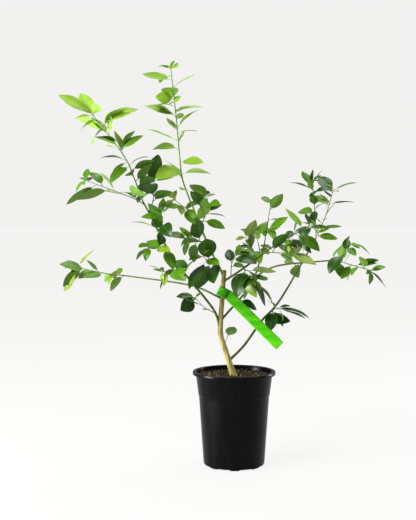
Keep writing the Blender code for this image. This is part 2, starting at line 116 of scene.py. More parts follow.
world = bpy.data.worlds.new("studio")
bpy.context.scene.world = world
world.use_nodes = True
backdrop = world.node_tree.nodes["Background"]
backdrop.inputs["Color"].default_value = (*BACKDROP_COLOUR, 1)
lit_or_seen(world.node_tree, BACKDROP_GLOW, backdrop.inputs["Strength"])
for name, (place, size, power) in LIGHTS.items():
    light_data = bpy.data.lights.new(name, "AREA")
    light_data.size = size
    light_data.energy = power
    back = unit(np.subtract(place, LIGHT_AIM))
    right = unit(np.cross((0, 0, 1), back))
    turn = Matrix(np.column_stack((right, np.cross(back, right), back)).tolist()).to_4x4()
    linked(name, light_data).matrix_world = Matrix.Translation(place) @ turn


# Pot: a round one-gallon nursery pot, blow-moulded in one piece from black satin plastic, with a rolled
# rim, a tapered collar, a step, and eight feet between the drain slots at its heel.
MM = 0.001
POT_HEIGHT = 188 * MM
RIM_RADIUS = 82.5 * MM
RIM_DEPTH = 7 * MM
RIM_UNDERCUT = 0.3 * MM
COLLAR_TOP_RADIUS = 76.4 * MM
COLLAR_FOOT_RADIUS = 71.0 * MM
STEP_HEIGHT = 140.5 * MM
STEP_WIDTH = 1.0 * MM
WALL_FOOT_RADIUS = 60.8 * MM
HEEL_HEIGHT = 4 * MM
HEEL_INSET = 3 * MM
POT_WALL = 1.6 * MM
POT_FLOOR = 2.0 * MM
FOOT_COUNT = 8
FOOT_SHARE = 0.36
FOOT_STEEPNESS = 12
DRAIN_HEIGHT = 2.5 * MM
DRAIN_INNER_RADIUS = 49 * MM
DRAIN_LIP = 0.6 * MM
POT_ROUNDING = 1.8 * MM
POT_ROUNDING_POINTS = 5
ROUNDING_LIMIT = 0.45  # the most of a side that one corner's arc may take
POT_SEGMENTS = 192
POT_TONES = ((0.0008, 0.0008, 0.0009), (0.0022, 0.0022, 0.0023))
POT_ROUGHNESS = (0.20, 0.32)
POT_SPECULAR = 0.14
POT_GRAIN = 90
POT_GRAIN_STRETCH = (1, 1, 0.25)
POT_RELIEF = 0.03 * MM
WELD = 0.001 * MM
KNIFE_EDGE = 100
GRAIN_DETAIL = 4
RELIEF_STRENGTH = 0.6


def grid_faces(rows, columns, wrap=False, flip=False):
    """Quads of a grid of points, row by row; wrap closes each row into a ring."""
    r = np.arange(rows - 1)[:, None] * columns
    c = np.arange(columns if wrap else columns - 1)[None, :]
    n = (c + 1) % columns
    quads = np.stack((r + c, r + n, r + columns + n, r + columns + c), axis=-1).reshape(-1, 4)
    return quads[:, ::-1] if flip else quads


def mesh_piece(name, verts, faces, materials, slot, nodes=(), face_material=None, uv=None, flat=False):
    """A new piece from points and quads, riding on the plant's one body.

    Points that fall together, at a pole or along a seam, are made one. The shading is smooth, apart
    from knife edges, where two sheets meet at their rim.
    """
    mesh = bpy.data.meshes.new(name)
    mesh.from_pydata(verts.tolist(), [], faces.tolist())
    if face_material is not None:
        mesh.polygons.foreach_set("material_index", face_material.astype(np.int32))
    if uv is not None:
        layer = mesh.uv_layers.new(name="UVMap")
        layer.data.foreach_set("uv", uv[faces].astype(np.float32).ravel())
    work = bmesh.new()
    work.from_mesh(mesh)
    bmesh.ops.remove_doubles(work, verts=work.verts, dist=WELD)
    work.to_mesh(mesh)
    work.free()
    if not flat:
        mesh.shade_smooth()
        mesh.set_sharp_from_angle(angle=np.radians(KNIFE_EDGE))
    for finish in materials:
        mesh.materials.append(finish)
    piece = linked(name, mesh)
    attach(piece, "root")
    if nodes:
        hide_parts(*nodes)
    return piece


def rounded(corners, radius, steps):
    """A profile whose inner corners are arcs: each is a quadratic curve cut from its two sides."""
    p = np.asarray(corners, float)
    t = np.linspace(0, 1, steps)[:, None]
    out = [p[:1]]
    for a, b, c in zip(p[:-2], p[1:-1], p[2:]):
        start, end = (b + unit(far - b) * min(radius, np.linalg.norm(far - b) * ROUNDING_LIMIT)
                      for far in (a, c))
        out.append((1 - t) ** 2 * start + 2 * t * (1 - t) * b + t**2 * end)
    out.append(p[-1:])
    return np.vstack(out)


def inner_radius(height):
    """Radius of the inner wall at a height: the outer radius there, less the wall's thickness."""
    heights = (0, STEP_HEIGHT, STEP_HEIGHT + STEP_WIDTH, POT_HEIGHT)
    outer = (WALL_FOOT_RADIUS, COLLAR_FOOT_RADIUS - STEP_WIDTH, COLLAR_FOOT_RADIUS, COLLAR_TOP_RADIUS)
    return np.interp(height, heights, outer) - POT_WALL


def pot_surface():
    """The rounded wall profile turned about the axis; between the feet the underside is lifted."""
    corners = [
        (0, POT_FLOOR + DRAIN_HEIGHT),
        (inner_radius(POT_FLOOR) - HEEL_INSET, POT_FLOOR + DRAIN_HEIGHT),
        *((inner_radius(z), z) for z in (2 * HEEL_HEIGHT, STEP_HEIGHT, STEP_HEIGHT + STEP_WIDTH)),
        (inner_radius(POT_HEIGHT), POT_HEIGHT - RIM_DEPTH / 2),
        (inner_radius(POT_HEIGHT), POT_HEIGHT),
        (RIM_RADIUS, POT_HEIGHT),
        (RIM_RADIUS, POT_HEIGHT - RIM_DEPTH),
        (COLLAR_TOP_RADIUS - RIM_UNDERCUT, POT_HEIGHT - RIM_DEPTH),
        (COLLAR_FOOT_RADIUS, STEP_HEIGHT),
        (COLLAR_FOOT_RADIUS - STEP_WIDTH, STEP_HEIGHT - STEP_WIDTH),
        (WALL_FOOT_RADIUS, HEEL_HEIGHT),
        (WALL_FOOT_RADIUS - HEEL_INSET, 0),
        (DRAIN_INNER_RADIUS + DRAIN_LIP, 0),
        (DRAIN_INNER_RADIUS, 0),
        (0, 0),
    ]
    profile = rounded(corners, POT_ROUNDING, POT_ROUNDING_POINTS)
    radius, height = profile[:, :1], profile[:, 1:]
    angle = np.linspace(0, 2 * np.pi, POT_SEGMENTS, endpoint=False)
    from_foot = np.abs(((angle * FOOT_COUNT / (2 * np.pi) + 0.5) % 1) - 0.5) * 2
    slot_share = np.clip((from_foot - FOOT_SHARE) * FOOT_STEEPNESS, 0, 1)
    z = np.maximum(height, DRAIN_HEIGHT * slot_share * (radius > DRAIN_INNER_RADIUS + DRAIN_LIP / 2))
    verts = np.stack((radius * np.cos(angle), radius * np.sin(angle), z), axis=-1)
    return verts.reshape(-1, 3), grid_faces(len(profile), POT_SEGMENTS, wrap=True, flip=True)


def mask_group(name, **inputs):
    """A node group that gives a mask, with named inputs of stated kinds, and its two end nodes."""
    group = bpy.data.node_groups.new(name, "ShaderNodeTree")
    for socket, kind in inputs.items():
        group.interface.new_socket(socket, in_out="INPUT", socket_type="NodeSocket" + kind)
    group.interface.new_socket("Mask", in_out="OUTPUT", socket_type="NodeSocketFloat")
    return group, group.nodes.new("NodeGroupInput"), group.nodes.new("NodeGroupOutput")


def mask_of(tree, group, **values):
    """The mask of a node group that is placed in a material with its own values."""
    node = tree.nodes.new("ShaderNodeGroup")
    node.node_tree = group
    for socket, value in values.items():
        node.inputs[socket].default_value = value
    return node.outputs["Mask"]


def add_relief(tree, shader, mask, strength, depth, sunken=False):
    """Bumps a shader's normal where a mask is high, outwards or sunken."""
    relief = tree.nodes.new("ShaderNodeBump")
    relief.inputs["Strength"].default_value = strength
    relief.inputs["Distance"].default_value = depth
    relief.invert = sunken
    tree.links.new(mask, relief.inputs["Height"])
    tree.links.new(relief.outputs["Normal"], shader.inputs["Normal"])


def grain_group():
    """A node group: fine grain as a mask, from noise of a stated scale on stretched Object coordinates."""
    group, ins, outs = mask_group("surface_grain", Scale="Float", Stretch="Vector")
    where = group.nodes.new("ShaderNodeTexCoord")
    stretch = group.nodes.new("ShaderNodeVectorMath")
    stretch.operation = "MULTIPLY"
    noise = group.nodes.new("ShaderNodeTexNoise")
    noise.inputs["Detail"].default_value = GRAIN_DETAIL
    group.links.new(where.outputs["Object"], stretch.inputs[0])
    group.links.new(ins.outputs["Stretch"], stretch.inputs[1])
    group.links.new(stretch.outputs[0], noise.inputs["Vector"])
    group.links.new(ins.outputs["Scale"], noise.inputs["Scale"])
    group.links.new(noise.outputs["Fac"], outs.inputs["Mask"])
    return group


grain = grain_group()


def grained_material(name, tones, roughness, scale, bump=0.0, stretch=(1, 1, 1),
                     contrast=(0.35, 0.65), specular=0.5):
    """A material whose colour runs between two tones, and its roughness over a range, with the grain.

    Gives the material, its shader node and the node that holds the two tones.
    """
    made, shader = plain_material(name, tones[0], roughness[0], specular)
    tree = made.node_tree
    mask = mask_of(tree, grain, Scale=scale, Stretch=stretch)
    ramp = tree.nodes.new("ShaderNodeValToRGB")
    for stop, position, tone in zip(ramp.color_ramp.elements, contrast, tones):
        stop.position = position
        stop.color = (*tone, 1)
    tree.links.new(mask, ramp.inputs["Fac"])
    tree.links.new(ramp.outputs["Color"], shader.inputs["Base Color"])
    span = tree.nodes.new("ShaderNodeMapRange")
    span.inputs["To Min"].default_value, span.inputs["To Max"].default_value = roughness
    tree.links.new(mask, span.inputs["Value"])
    tree.links.new(span.outputs["Result"], shader.inputs["Roughness"])
    if bump:
        add_relief(tree, shader, mask, RELIEF_STRENGTH, bump)
    return made, shader, ramp


pot_plastic, *_ = grained_material("pot_plastic", POT_TONES, POT_ROUGHNESS, POT_GRAIN, POT_RELIEF,
                                   stretch=POT_GRAIN_STRETCH, specular=POT_SPECULAR)
mesh_piece("nursery_pot", *pot_surface(), [pot_plastic], "pot_plastic", ["pot"])


# Potting mix: moist bark, peat and a few pale grits, loose in the pot to about a finger's width below
# its rim, level round the trunk and a little higher at the wall, with loose chips lying on it.
MIX_TOP = 176.7 * MM
MIX_DEPTH = 150 * MM
MIX_RISE = 0.6 * MM
MIX_EDGE_RISE = 1.6 * MM
MIX_EDGE_START = 50 * MM
MIX_EDGE_WIDTH = 24 * MM
MIX_WALL_GAP = 0.1 * MM
MIX_SKIRT_INSET = 0.97
MIX_LUMPS = ((0.55, 5, 22), (0.4, 6, 8), (0.25, 7, 3.5))  # height in mm, seed, wavelength in mm
LUMP_WAVES = 24
LUMP_LENGTH_SPREAD = (0.6, 1.8)
MIX_RINGS = 40
MIX_SEGMENTS = 144
MIX_TONES = ((0.008, 0.006, 0.004), (0.07, 0.045, 0.025))
MIX_ROUGHNESS = (0.85, 1.0)
MIX_GRAIN = 260
MIX_RELIEF = 0.5 * MM
# Each kind of chip: how many, the range of lengths in mm, its two tones and its seed.
CHIP_KINDS = {
    "bark_chips_dark": (520, (2.5, 7.0), ((0.006, 0.004, 0.003), (0.030, 0.018, 0.010)), 11),
    "bark_chips_brown": (240, (2.5, 8.0), ((0.035, 0.017, 0.006), (0.12, 0.060, 0.020)), 12),
    "bark_chips_tan": (130, (2.0, 6.5), ((0.20, 0.15, 0.035), (0.40, 0.32, 0.10)), 13),
}
CHIP_WIDTH_SHARE = (0.35, 0.8)
CHIP_DEPTH_SHARE = (0.15, 0.5)
CHIP_CORNER_SHARE = (0.55, 1.0)
CHIP_TURN_WEIGHTS = (1, 0.35, 0.35, 1)
CHIP_REACH_SPREAD = (0.01, 1)
CHIP_WALL_GAP = 4 * MM
CHIP_LIFT = 0.5 * MM
CHIP_ROUGHNESS = (0.75, 0.98)
CHIP_GRAIN = 140
CHIP_RELIEF = 0.3 * MM


def lumps(x, y, seed, wavelength):
    """Rolling unevenness: a sum of plane waves with seeded headings, lengths and phases."""
    rng = np.random.default_rng(seed)
    heading = rng.uniform(0, 2 * np.pi, LUMP_WAVES)
    length = wavelength * rng.uniform(*LUMP_LENGTH_SPREAD, LUMP_WAVES)
    phase = rng.uniform(0, 2 * np.pi, LUMP_WAVES)
    wave = np.cos(heading) * x[..., None] + np.sin(heading) * y[..., None]
    return np.sin(2 * np.pi * wave / length + phase).sum(-1) / np.sqrt(LUMP_WAVES)


def mix_height(x, y):
    """Height of the mix: level in the middle, rising to the wall, with lumps of three sizes."""
    edge = np.clip((np.hypot(x, y) - MIX_EDGE_START) / MIX_EDGE_WIDTH, 0, 1)
    uneven = sum(height * lumps(x, y, seed, length * MM) for height, seed, length in MIX_LUMPS)
    return MIX_TOP + MIX_RISE + MIX_EDGE_RISE * edge + uneven * MM


radius = np.linspace(0, inner_radius(MIX_TOP) - MIX_WALL_GAP, MIX_RINGS)[:, None]
angle = np.linspace(0, 2 * np.pi, MIX_SEGMENTS, endpoint=False)[None, :]
x, y = radius * np.cos(angle), radius * np.sin(angle)
top = np.stack((x, y, mix_height(x, y)), axis=-1)
skirt = top[-1:] * (MIX_SKIRT_INSET, MIX_SKIRT_INSET, 0) + (0, 0, MIX_DEPTH)
underside = skirt * (0, 0, 1)
verts = np.concatenate((top, skirt, underside)).reshape(-1, 3)
mix_material, *_ = grained_material("potting_mix", MIX_TONES, MIX_ROUGHNESS, MIX_GRAIN, MIX_RELIEF)
mesh_piece("potting_mix_bed", verts, grid_faces(MIX_RINGS + 2, MIX_SEGMENTS, wrap=True, flip=True),
           [mix_material], "potting_mix", ["potting_mix"])

BOX = np.array([(x, y, z) for z in (-1, 1) for y in (-1, 1) for x in (-1, 1)], float)
BOX_FACES = np.array([(0, 2, 3, 1), (4, 5, 7, 6), (0, 1, 5, 4), (2, 6, 7, 3), (0, 4, 6, 2), (1, 3, 7, 5)])


def turned_boxes(rng, count, sizes):
    """Rough blocks: a box's corners pulled in by seeded shares, its sides scaled, and the whole turned
    by a seeded unit quaternion (w, u), which takes v to v + 2 u x (u x v + w v)."""
    size = rng.uniform(*sizes, count)[:, None] * MM
    breadth = rng.uniform(*CHIP_WIDTH_SHARE, count)
    depth = rng.uniform(*CHIP_DEPTH_SHARE, count)
    shape = np.stack((np.ones(count), breadth, depth), axis=-1)
    q = rng.normal(size=(count, 4)) * CHIP_TURN_WEIGHTS
    q /= np.linalg.norm(q, axis=1)[:, None]
    w, u = q[:, None, :1], q[:, None, 1:]
    block = BOX * rng.uniform(*CHIP_CORNER_SHARE, (count, 8, 3)) * (0.5 * size * shape)[:, None]
    return block + 2 * np.cross(u, np.cross(u, block) + w * block)


for name, (count, sizes, tones, seed) in CHIP_KINDS.items():
    rng = np.random.default_rng(seed)
    reach = (inner_radius(MIX_TOP) - CHIP_WALL_GAP) * np.sqrt(rng.uniform(*CHIP_REACH_SPREAD, count))
    around = rng.uniform(0, 2 * np.pi, count)
    x, y = reach * np.cos(around), reach * np.sin(around)
    blocks = turned_boxes(rng, count, sizes)
    blocks += np.stack((x, y, mix_height(x, y) + CHIP_LIFT), axis=-1)[:, None]
    faces = (BOX_FACES[None] + 8 * np.arange(count)[:, None, None]).reshape(-1, 4)
    chip_material, *_ = grained_material(name, tones, CHIP_ROUGHNESS, CHIP_GRAIN, CHIP_RELIEF)
    mesh_piece(name, blocks.reshape(-1, 3), faces, [chip_material], "potting_mix", flat=True)


# Trunk and boughs: living wood, tan and faintly ridged on the trunk, green-brown on the boughs and bright
# green on the new leader; each grows out of the trunk or bough that carries it.
TRUNK_FOOT = (-1, 0, 177)
TRUNK_SUNK = 3 * MM
TRUNK_FOOT_SPREAD = 1.08
TRUNK_FULLNESS = 1.06
FLARE_REACH = 12 * MM
COLLAR_SWELL = 0.5
COLLAR_REACH = 4 * MM
PATH_STEP = 4 * MM
CURVE_POINTS = 24
RING_STEP = 1.5 * MM
TRUNK_SIDES = 40
BOUGH_SIDES = 20
END_POINT = 0.5  # how far a tube's closing point lies past its end, over its last radius
# Each limb: what it grows from, at what share of it, its foot, middle and tip radii in mm, and its
# legs as (length in mm, compass heading, rise). Heading 0 is +X and 90 is +Y, in degrees.
LIMBS = {
    "trunk": (None, 0, (8.2, 5.2, 4.2), [(51, 180, 73), (32, 180, 72), (30, 180, 88), (102, 0, 86)]),
    "leader": ("trunk", 0.945, (2.6, 2.1, 1.6),
        [(23, 207, 61), (46, 208, 60), (54, 209, 66), (49, 201, 66)]),
    "left_bough": ("trunk", 0.44, (2.5, 2.0, 1.5),
        [(45, 204, 71), (90, 203, 50), (51, 206, 51), (123, 209, 60)]),
    "far_left_bough": ("trunk", 0.74, (2.0, 1.7, 1.3), [(78, 151, 18), (145, 156, 6)]),
    "right_bough": ("trunk", 0.9, (2.2, 1.9, 1.5), [(41, 336, 32), (91, 336, 35)]),
    "rear_bough": ("trunk", 0.535, (2.3, 1.9, 1.4), [(106, 39, 41), (88, 54, 57)]),
    "flat_bough": ("rear_bough", 0.61, (1.9, 1.6, 1.3), [(28, 345, 36), (47, 325, 18), (132, 315, 6)]),
    "low_bough": ("trunk", 0.15, (2.6, 2.1, 1.6), [(48, 32, 38), (62, 32, 48), (63, 31, 42), (153, 31, 54)]),
}
LIMB_TONES = {"trunk": "tan", "leader": "shoot"}
# Each tone of bark: its dark and light colours, and its range of roughness.
BARK = {
    "tan": (((0.17, 0.145, 0.028), (0.50, 0.43, 0.15)), (0.62, 0.85)),
    "olive": (((0.035, 0.070, 0.005), (0.11, 0.16, 0.018)), (0.5, 0.7)),
    "shoot": (((0.10, 0.27, 0.010), (0.20, 0.40, 0.03)), (0.42, 0.6)),
}
BARK_GRAIN = 75
BARK_GRAIN_STRETCH = (3, 3, 0.4)
BARK_BUMP = 0.6 * MM
BARK_SPECULAR = 0.2
TRUNK_RELIEF = (0.07, 34 * MM)
BOUGH_RELIEF = (0.03, 27 * MM)
RIDGE_WAVES = 5
RIDGE_TWIST = (35, 23)  # radians a metre: of the first wave, and more for each next one
FINE_RIDGES = 11
FINE_SHARE = 0.35
FINE_WANDER = (2.2, 260)
NODE_SWELL = 0.16
NODE_SIDES = (0.6, 0.4)
NODE_REACH = 1.3 * MM


def compass(heading, rise):
    """Unit vector from a compass heading and a rise above the horizontal, in degrees."""
    h, r = np.radians((heading, rise))
    return np.array((np.cos(r) * np.cos(h), np.cos(r) * np.sin(h), np.sin(r)))


def travelled(points):
    """Distance along a polyline at each of its points."""
    return np.concatenate(([0], np.cumsum(np.linalg.norm(np.diff(points, axis=0), axis=1))))


def read_at(marks, far, values):
    """Points or vectors known at distances along a path, read between them at the marks."""
    return np.stack([np.interp(marks, far, values[:, axis]) for axis in range(3)], axis=-1)


def spaced(points, step):
    """Points at even distances of about one step along a polyline."""
    far = travelled(points)
    marks = np.linspace(0, far[-1], max(2, int(round(far[-1] / step)) + 1))
    return read_at(marks, far, points)


def smooth(joints):
    """Catmull-Rom curve through the joints of a limb, at even steps."""
    p = np.asarray(joints)
    p = np.vstack((2 * p[0] - p[1], p, 2 * p[-1] - p[-2]))
    t = np.linspace(0, 1, CURVE_POINTS, endpoint=False)[:, None]
    pieces = []
    for a, b, c, d in zip(p[:-3], p[1:-2], p[2:-1], p[3:]):
        bend = (2 * a - 5 * b + 4 * c - d) * t**2 + (3 * b - a - 3 * c + d) * t**3
        pieces.append(0.5 * (2 * b + (c - a) * t + bend))
    return spaced(np.vstack(pieces + [p[-2:-1]]), PATH_STEP)


def point_at(path, share):
    """The point of a path at a share of its length, and the path's direction there."""
    far = travelled(path)
    mark = share * far[-1]
    i = min(max(np.searchsorted(far, mark, side="right"), 1), len(path) - 1)
    return read_at(mark, far, path), unit(path[i] - path[i - 1])


def grow(parent_path, share, legs):
    """The axis of a limb or twig: legs laid end to end from a point on its parent."""
    start = np.array(TRUNK_FOOT) * MM if parent_path is None else point_at(parent_path, share)[0]
    joints = [start]
    for length, heading, rise in legs:
        joints.append(joints[-1] + length * MM * compass(heading, rise))
    return smooth(joints)


def tube_surface(path, radius, sides, relief=None):
    """Circles carried along a path: ring k lies across the path at its point k, and its radius is
    radius k times the relief there. One point closes the foot, and one a little past the path's end
    closes the tip."""
    way = np.gradient(path, axis=0)
    way /= np.linalg.norm(way, axis=1)[:, None]
    guide = np.eye(3)[np.argmin(np.abs(way.mean(0)))]
    side = np.cross(way, guide)
    side /= np.linalg.norm(side, axis=1)[:, None]
    up = np.cross(side, way)
    angle = np.linspace(0, 2 * np.pi, sides, endpoint=False)[None, :]
    factor = 1 if relief is None else relief(travelled(path)[:, None], angle)
    r = np.asarray(radius)[:, None] * factor
    ring = side[:, None] * np.cos(angle)[..., None] + up[:, None] * np.sin(angle)[..., None]
    tip = path[-1] + END_POINT * radius[-1] * way[-1]
    ends = [np.broadcast_to(end, (1, sides, 3)) for end in (path[0], tip)]
    verts = np.concatenate((ends[0], path[:, None] + r[..., None] * ring, ends[1]))
    return verts.reshape(-1, 3), grid_faces(len(verts), sides, wrap=True)


def bark_relief(seed, depth, node_gap):
    """Ridges that run along the limb and swellings at its nodes, as a factor on its radius."""
    phase = np.random.default_rng(seed).uniform(0, 2 * np.pi, 8)

    def relief(along, around):
        """Sines round the limb that twist as they run along it, a finer one, and a bell at each node."""
        first, more = RIDGE_TWIST
        ridges = sum(np.sin((k + 2) * around + phase[k] + along * (first + more * k))
                     for k in range(RIDGE_WAVES)) / RIDGE_WAVES
        wander = FINE_WANDER[0] * np.sin(along * FINE_WANDER[1] + phase[7])
        fine = np.sin(FINE_RIDGES * around + phase[6] + wander)
        from_node = (((along / node_gap + phase[5]) % 1) - 0.5) * node_gap
        node = np.exp(-((from_node / NODE_REACH) ** 2))
        swelling = NODE_SWELL * node * (NODE_SIDES[0] + NODE_SIDES[1] * np.cos(around + phase[4]))
        return 1 + depth * (ridges + FINE_SHARE * fine) + swelling
    return relief


bark = {}
for tone, (tones, roughness) in BARK.items():
    bark[tone], *_ = grained_material(tone + "_bark", tones, roughness, BARK_GRAIN, BARK_BUMP,
                                      stretch=BARK_GRAIN_STRETCH, specular=BARK_SPECULAR)
paths = {}
for index, (limb, (parent, share, radii, legs)) in enumerate(LIMBS.items()):
    paths[limb] = grow(paths.get(parent), share, legs)
    foot, middle, tip = (radius * MM for radius in radii)
    path = spaced(paths[limb], RING_STEP)
    far = travelled(path)
    along = far / far[-1]
    if limb == "trunk":
        flare = (foot - middle) * np.exp(-far / FLARE_REACH)
        radius = TRUNK_FULLNESS * middle + (tip - middle) * along + flare
        path = np.vstack((path[:1] - (0, 0, TRUNK_SUNK), path))
        radius = np.append(radius[0] * TRUNK_FOOT_SPREAD, radius)
        surface = tube_surface(path, radius, TRUNK_SIDES, bark_relief(index, *TRUNK_RELIEF))
    else:
        collar = 1 + COLLAR_SWELL * np.exp(-far / COLLAR_REACH)
        radius = np.interp(along, (0, 0.5, 1), (foot, middle, tip)) * collar
        surface = tube_surface(path, radius, BOUGH_SIDES, bark_relief(index, *BOUGH_RELIEF))
    tone = LIMB_TONES.get(limb, "olive")
    slot = "green_bark" if limb == "leader" else "tan_bark"
    mesh_piece(limb + "_wood", *surface, [bark[tone]], slot, [limb])


# Twigs: this year's slender green shoots that carry the leaves on from each bough's tip or side.
# Each is round, tapers to its end bud, and swells a little at its nodes.
TWIG_TAPER = 0.55
TWIG_SIDES = 10
TWIG_RELIEF = (0.02, 16 * MM)
TWIG_RELIEF_SEED = 40
BRIGHT_TWIGS = ("top", "left_high", "left_side", "leader_right", "leader_left", "right_top",
                "right_top_side", "flat_tip")
# Each twig: what it grows from, at what share, its foot radius in mm, its legs, the share where its
# leaves begin, the leaf length in mm there and at its tip, and a seed for each pair of leaves.
TWIGS = {
    "top": ("leader", 1, 1.5, [(43, 204, 70), (54, 228, 81), (65, 180, 85), (97, 143, 82)], 0.03, (50, 44),
        (3022, 4418, 3690, 3079, 5472, 5078, 472, 545)),
    "leader_right": ("leader", 0.66, 1.1, [(28, 29, 64), (38, 72, 70)], 0.2, (42, 38),
        (80, 5201, 4740, 1337)),
    "leader_left": ("leader", 0.82, 1.1, [(31, 210, 26), (25, 215, 33)], 0.25, (50, 44), (1865, 4032)),
    "leader_low": ("leader", 0.45, 1.1, [(51, 222, 8)], 0.15, (42, 38), (815, 2173, 5899)),
    "centre_left": ("leader", 0.2, 1.1, [(27, 234, 2), (24, 242, 31)], 0.1, (56, 50), (4273, 5441, 533)),
    "left_high": ("left_bough", 1, 1.4, [(47, 213, 67), (46, 209, 63), (96, 197, 52)], 0.05, (46, 58),
        (5052, 5823, 4340, 2720, 2087, 3738, 5984, 3356)),
    "left_side": ("left_bough", 0.97, 1.1, [(32, 214, 26), (99, 206, 19)], 0.1, (50, 56),
        (228, 5662, 265, 4095)),
    "left_mid": ("left_bough", 0.91, 1.1, [(32, 25, 73), (37, 88, 71)], 0.1, (46, 60), (1868, 3321, 2102)),
    "left_low": ("left_bough", 0.74, 1.1, [(26, 283, 64), (28, 266, 55)], 0.1, (46, 44), (3598, 4992, 2227)),
    "left_out": ("left_bough", 0.65, 1.1, [(44, 215, 6)], 0.1, (46, 46), (2751, 3186, 3569)),
    "left_inner": ("left_bough", 0.49, 1.1, [(45, 216, -3)], 0.1, (40, 38), (392, 2614, 5126)),
    "low_left": ("left_bough", 0.12, 1.0, [(27, 156, 24), (28, 146, 40)], 0.3, (34, 34), (5415, 2915)),
    "far_left": ("far_left_bough", 1, 1.2, [(50, 161, 5), (63, 167, 11)], 0.02, (36, 46),
        (3759, 5189, 2989, 5791, 1624, 451)),
    "centre": ("right_bough", 0.14, 1.1, [(28, 287, 77), (28, 325, 60)], 0.1, (42, 42), (2144, 173, 1234)),
    "right_low": ("right_bough", 0.37, 1.1, [(26, 305, -13), (27, 298, -32)], 0.0, (52, 48),
        (66, 1280, 1132, 330)),
    "centre_right": ("rear_bough", 0.82, 1.1, [(29, 188, 59), (30, 218, 57)], 0.1, (38, 36),
        (504, 1358, 3004)),
    "centre_rear": ("rear_bough", 0.88, 1.1, [(67, 102, 52)], 0.1, (38, 36), (146, 1269, 5640)),
    "rear_top": ("rear_bough", 1, 1.3, [(54, 57, 72), (43, 50, 76)], 0.1, (44, 38), (4303, 3797, 4915)),
    "right_tip": ("right_bough", 1, 1.4, [(84, 333, 28)], 0.03, (46, 44), (4661, 1375, 123, 2732, 3873)),
    "right_under": ("right_bough", 0.81, 1.1, [(65, 312, 0)], 0.2, (46, 42), (432, 4904)),
    "side_leaves": ("low_bough", 0.36, 1.0, [(21, 340, 45), (18, 323, 23)], 0.5, (64, 60), (1950, 3544)),
    "low_inner": ("low_bough", 0.76, 1.1, [(45, 115, 31)], 0.2, (36, 34), (306, 4917)),
    "trunk_leaf": ("trunk", 0.3, 0.9, [(19, 320, 64)], 0.99, (32, 32), (2626,)),
    "right_top": ("low_bough", 1, 1.4, [(34, 99, 80), (86, 131, 84)], 0.05, (36, 40),
        (5241, 309, 3715, 187, 717, 5457)),
    "right_top_side": ("right_top", 0.1, 1.1, [(35, 37, 48), (68, 43, 65)], 0.1, (40, 44),
        (759, 4559, 4710, 3011, 2432)),
    "flat_tip": ("flat_bough", 1, 1.2, [(84, 317, -12)], 0.02, (44, 42), (2988, 3058, 512, 3420, 372)),
    "flat_side": ("flat_tip", 0.15, 1.0, [(54, 284, 43)], 0.3, (38, 38), (3676, 1850)),
}


def joined(parts):
    """Several surfaces as one: the faces of each count on from the points before it."""
    starts = np.cumsum([0] + [len(points) for points, *_ in parts])
    moved = [(points, faces + start, *rest) for (points, faces, *rest), start in zip(parts, starts)]
    return [np.concatenate(column) for column in zip(*moved)]


twig_parts = {"shoot": [], "olive": []}
for index, (twig, (parent, share, foot, legs, *_)) in enumerate(TWIGS.items()):
    paths[twig] = grow(paths[parent], share, legs)
    path = spaced(paths[twig], RING_STEP)
    far = travelled(path)
    radius = foot * MM * (1 - TWIG_TAPER * far / far[-1])
    relief = bark_relief(TWIG_RELIEF_SEED + index, *TWIG_RELIEF)
    tone = "shoot" if twig in BRIGHT_TWIGS else "olive"
    twig_parts[tone].append(tube_surface(path, radius, TWIG_SIDES, relief))
for tone, parts in twig_parts.items():
    mesh_piece(tone + "_twigs", *joined(parts), [bark[tone]], "leaves")


# Leaves: glossy ovate key lime leaves on short stalks, arched and folded along the midrib, each a golden
# turn on from the last. The youngest are yellow-green, the oldest dark, and the undersides paler.
LEAF_TURN = 137.5
LEAF_TURN_SPREAD = 35
LEAF_PLACE_SPREAD = 0.3
LEAF_LEAN, LEAF_LEAN_SPREAD = 60, 28
LEAF_ROLL_SPREAD = 45
LEAF_LENGTH_SPREAD = 0.34
LEAF_WIDTH, LEAF_WIDTH_SPREAD = 0.47, 0.07
LEAF_DROOP, LEAF_DROOP_SPREAD = 32, 34
NEARLY_UPRIGHT = 0.15
LEAF_GAIN = 1.08
LEAF_FOLD = 15
LEAF_CUP = 0.315
BLADE_ROWS = 11
BLADE_ROW_EASE = 0.9
BLADE_SHOULDER, BLADE_FULLNESS = 0.82, 0.8
LEAF_COLUMNS = 7
PETIOLE_SHARE = 0.15
PETIOLE_RADIUS = 0.8 * MM
PETIOLE_CAP = 0.004
PETIOLE_FULLNESS = 1.2
TIP_SHARE = 0.9
TIP_NARROWING = 0.3
TIP_RADIUS = 0.15 * MM
RIPPLE_HEIGHT = 0.010
RIPPLE_TURN = 9
BLADE_THICKNESS = 0.28 * MM
RIB_THICKNESS = 0.45 * MM
RIB_SHARPNESS = 5
UPPER_RIB_SHARE = 0.6
# Each tone of leaf: its upper face, its veins, its underside and its roughness.
LEAF_TONES = {
    "young": ((0.25, 0.46, 0.025), (0.34, 0.54, 0.06), (0.32, 0.56, 0.07), 0.38),
    "mid": ((0.080, 0.22, 0.003), (0.17, 0.33, 0.012), (0.15, 0.31, 0.035), 0.30),
    "dark": ((0.014, 0.062, 0.001), (0.04, 0.12, 0.004), (0.055, 0.15, 0.016), 0.26),
    "olive": ((0.19, 0.31, 0.012), (0.30, 0.41, 0.04), (0.25, 0.38, 0.08), 0.34),
}
UNDERSIDE_ROUGHER = 0.2
LEAF_SPECULAR = 0.3
LEAF_GRAIN = 30
LEAF_BLOTCH = (0.8, 1.2)
LEAF_BLOTCH_CONTRAST = (0.3, 0.7)
LEAF_ROUGHNESS_SPREAD = (-0.05, 0.1)
VEINS_ABOVE, VEINS_BELOW = 0.22, 0.35
VEIN_DEPTH = 0.3 * MM
VEIN_RELIEF_STRENGTH = 0.25
MIDRIB_WIDTH = 0.09
VEIN_PHASE = 62
VEIN_SLANT = 9
